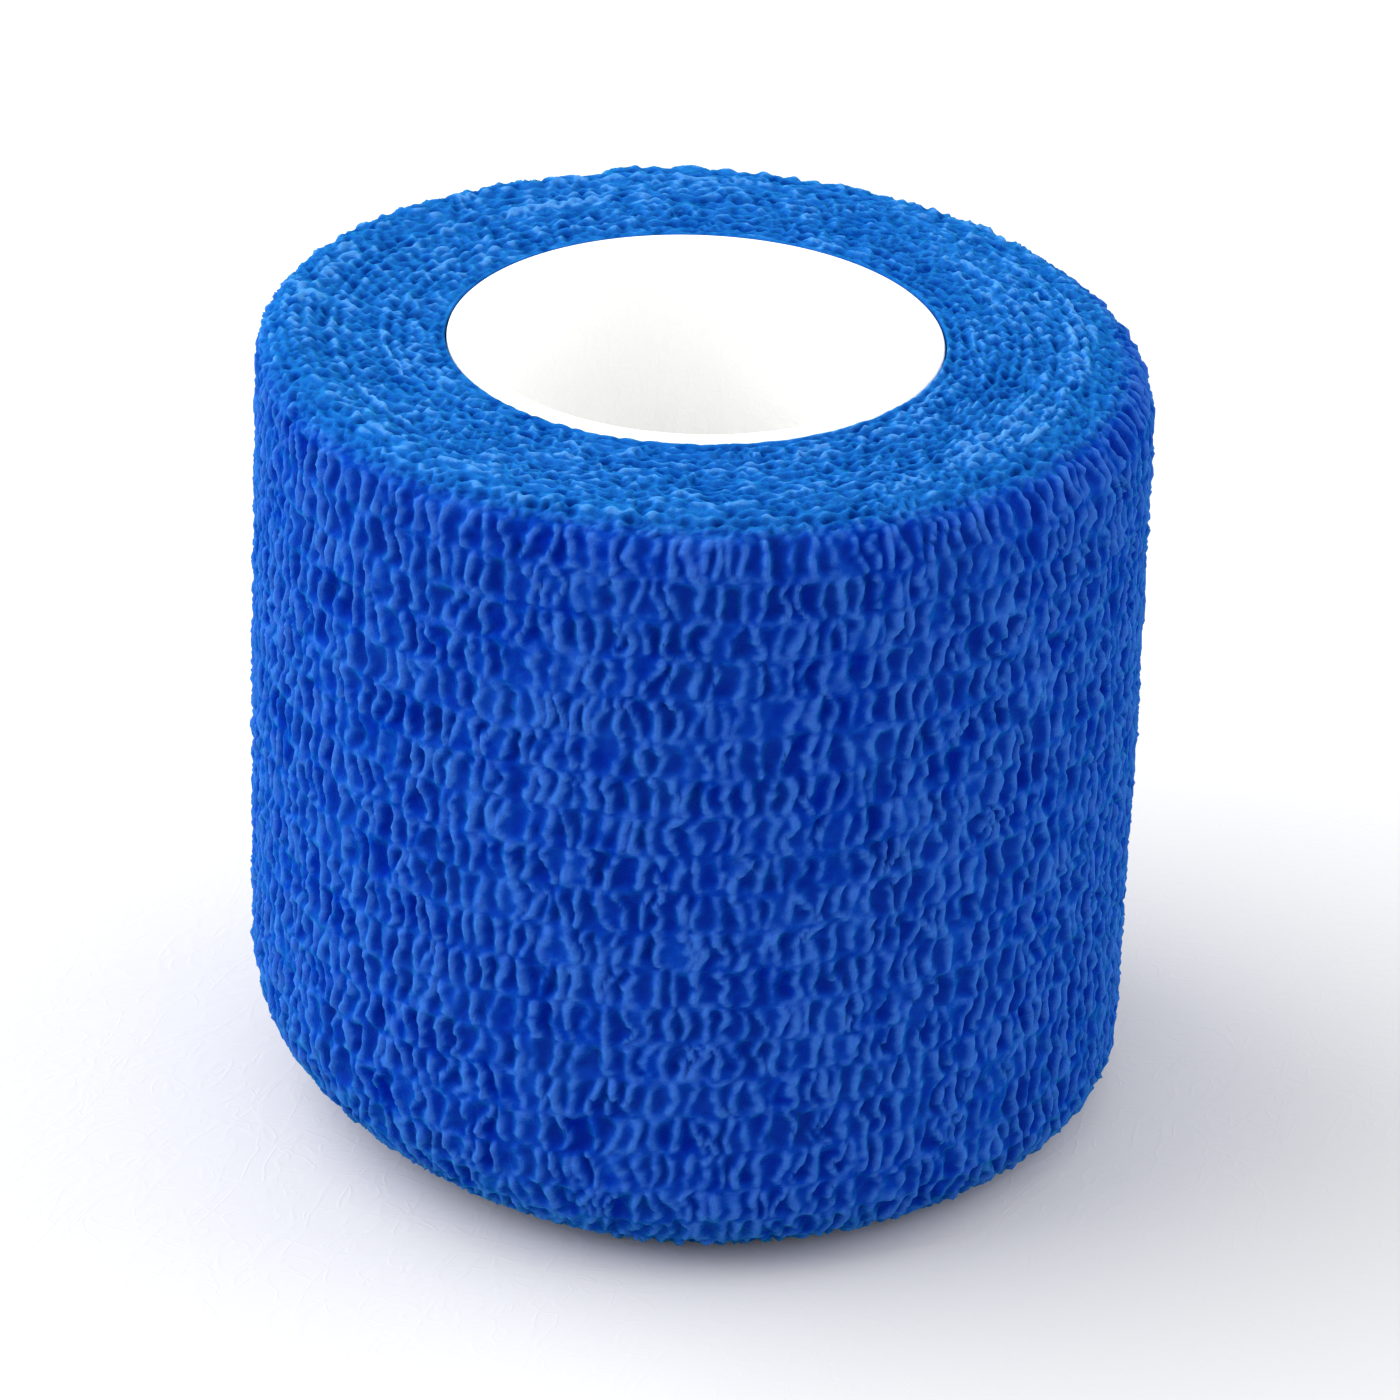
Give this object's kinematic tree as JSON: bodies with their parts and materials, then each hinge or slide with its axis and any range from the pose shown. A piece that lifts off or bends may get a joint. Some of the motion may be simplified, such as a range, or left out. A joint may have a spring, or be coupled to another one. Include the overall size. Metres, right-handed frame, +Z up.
{
  "type": "cohesive bandage roll",
  "caption": "Short round roll of crinkled stretch bandage wound on an open white tube, standing on one end, with rows of small puckers round its wall and soft rims.",
  "frame": {"origin": "on the surface that the roll stands on, under the middle of the wound strip's bounding box", "axes": "+Z up along the roll's axis, -Y towards the side that the picture shows, +X to the right of it"},
  "size_m": [0.0542, 0.0548, 0.0508],
  "materials": {
    "bandage_cloth": "matte crinkled non-woven over elastic threads",
    "core_tube": "plain white, satin"
  },
  "bodies": {
    "root": {"bandage": "bandage_cloth", "core": "core_tube"}
  },
  "joints": []
}
